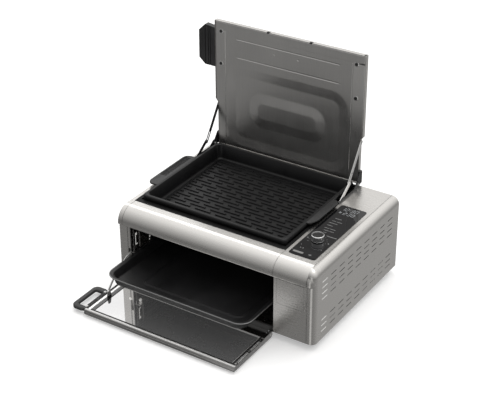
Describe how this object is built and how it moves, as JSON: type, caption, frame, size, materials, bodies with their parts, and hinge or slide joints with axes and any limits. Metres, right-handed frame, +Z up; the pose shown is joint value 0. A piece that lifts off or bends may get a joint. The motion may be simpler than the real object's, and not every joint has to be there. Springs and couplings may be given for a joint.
{
  "type": "air fryer oven",
  "caption": "Counter-top air fryer oven with a drop-down door and sliding baking tray, a lift-off grill pan under a hinged lid, and a control tower with a dial.",
  "frame": {"origin": "on the worktop under the middle of the housing's footprint, feet undersides at z = 0", "axes": "+Z up; the front with the door faces -Y; +X is the oven's right with the control tower"},
  "size_m": [0.5134, 0.517, 0.493],
  "materials": {
    "stainless": "fine satin brushed",
    "stainless_bright": "bright brushed edge",
    "galvanised": "dull rolled sheet",
    "liner_steel": "grey rolled sheet",
    "black_enamel": "satin non-stick coating",
    "tray_enamel": "satin non-stick coating",
    "black_paint": "satin black paint",
    "heater_sheath": "dark heat-tinted sheath",
    "rubber": "matt",
    "black_plastic": "fine grain",
    "gloss_black": "gloss",
    "control_glass": "glossy tinted panel",
    "clear_glass": "tinted heat-proof glass",
    "mirror_panel": "reflective coated inner pane",
    "chrome": "polished",
    "screw_steel": "zinc plated",
    "ceramic": "ceramic",
    "circuit": "circuit laminate",
    "aluminium": "cast"
  },
  "bodies": {
    "housing": {"feet": "rubber", "base_pan": "galvanised", "side_panel_left": "stainless", "side_panel_right": "stainless", "rear_panel": "galvanised", "rear_screws": "screw_steel", "front_frame": "stainless", "front_beam": "stainless", "beam_end_cap": "stainless", "tower_cover": "stainless", "cavity_liner": "liner_steel", "rack_guide_left": "stainless_bright", "rack_guide_right": "stainless_bright", "heater_lower": "heater_sheath", "heater_upper": "heater_sheath", "grill_heater": "heater_sheath", "heater_bushes": "ceramic", "fan_guard": "stainless_bright", "fan_shroud": "galvanised", "fan_motor": "aluminium", "deck_well": "black_enamel", "pan_rests": "black_paint", "control_glass": "control_glass", "glass_carrier": "black_plastic", "control_board": "circuit", "dial_encoder": "black_plastic", "cord_gland": "black_plastic", "hinge_bracket_left": "black_paint", "hinge_bracket_right": "black_paint", "hinge_pins": "screw_steel", "door_hinge_brackets": "black_paint"},
    "lid": {"lid_shell": "stainless", "lid_liner": "stainless", "lid_screws": "screw_steel", "lid_handle": "black_plastic", "lid_arms": "black_paint", "stay_lid_pins": "screw_steel"},
    "upper_stay_left": {"stay_upper_left": "black_paint"},
    "upper_stay_right": {"stay_upper_right": "stainless_bright"},
    "lower_stay_left": {"stay_lower_left": "black_paint", "knee_pin_left": "screw_steel"},
    "lower_stay_right": {"stay_lower_right": "stainless_bright", "knee_pin_right": "screw_steel"},
    "door": {"door_frame": "stainless_bright", "door_glass": "clear_glass", "door_mirror": "mirror_panel", "door_spacers": "black_plastic", "door_edge_trim": "stainless_bright", "door_screws": "screw_steel", "door_handle": "black_plastic", "door_handle_screws": "screw_steel", "door_hinge_pins": "screw_steel", "door_link_bracket": "stainless_bright"},
    "link": {"door_link": "stainless_bright"},
    "tray": {"baking_tray": "tray_enamel"},
    "pan": {"grill_pan": "black_enamel"},
    "dial": {"dial_knob": "gloss_black", "dial_ring": "chrome"},
    "fan": {"convection_fan": "aluminium", "fan_shaft": "screw_steel"}
  },
  "joints": [
    {"name": "lid_hinge", "type": "hinge", "parent": "housing", "child": "lid", "pos_m": [-0.04325, 0.17, 0.196], "axis": [-1, 0, 0], "range_deg": [-90, 0]},
    {"name": "door_hinge", "type": "hinge", "parent": "housing", "child": "door", "pos_m": [-0.04325, -0.187, 0.012], "axis": [-1, 0, 0], "range_deg": [0, 90]},
    {"name": "pan_lift", "type": "slide", "parent": "housing", "child": "pan", "axis": [0, 0, 1], "range_m": [0, 0.06]},
    {"name": "dial_turn", "type": "hinge", "parent": "housing", "child": "dial", "pos_m": [0.1815, -0.0695, 0.1884], "axis": [0, 0, 1], "continuous": true},
    {"name": "fan_spin", "type": "hinge", "parent": "housing", "child": "fan", "pos_m": [0.156, 0.02, 0.09], "axis": [1, 0, 0], "continuous": true},
    {"name": "stay_upper_left_pivot", "type": "hinge", "parent": "lid", "child": "upper_stay_left", "pos_m": [-0.2266, 0.185, 0.291], "axis": [-1, 0, 0], "range_deg": [-17.85, 0.5]},
    {"name": "stay_upper_right_pivot", "type": "hinge", "parent": "lid", "child": "upper_stay_right", "pos_m": [0.1401, 0.185, 0.291], "axis": [-1, 0, 0], "range_deg": [-17.85, 0.5]},
    {"name": "stay_lower_left_pivot", "type": "hinge", "parent": "housing", "child": "lower_stay_left", "pos_m": [-0.2286, 0.09298, 0.186], "axis": [-1, 0, 0], "range_deg": [-0.5, 29.73]},
    {"name": "stay_lower_right_pivot", "type": "hinge", "parent": "housing", "child": "lower_stay_right", "pos_m": [0.1421, 0.09298, 0.186], "axis": [-1, 0, 0], "range_deg": [-0.5, 29.73]},
    {"name": "door_link_pivot", "type": "hinge", "parent": "door", "child": "link", "pos_m": [-0.2174, -0.258, 0.029], "axis": [-1, 0, 0], "range_deg": [-45.5, 0.5]},
    {"name": "tray_slide", "type": "slide", "parent": "housing", "child": "tray", "axis": [0, 1, 0], "range_m": [-0.001, 0.131]}
  ],
  "couplings": [
    {"joint": "stay_upper_left_pivot", "follows": "lid_hinge", "ratio": 0.1928},
    {"joint": "stay_upper_right_pivot", "follows": "lid_hinge", "ratio": 0.1928},
    {"joint": "stay_lower_left_pivot", "follows": "lid_hinge", "ratio": -0.3248},
    {"joint": "stay_lower_right_pivot", "follows": "lid_hinge", "ratio": -0.3248},
    {"joint": "door_link_pivot", "follows": "door_hinge", "ratio": -0.5},
    {"joint": "tray_slide", "follows": "door_hinge", "m_per_rad": 0.08276}
  ]
}
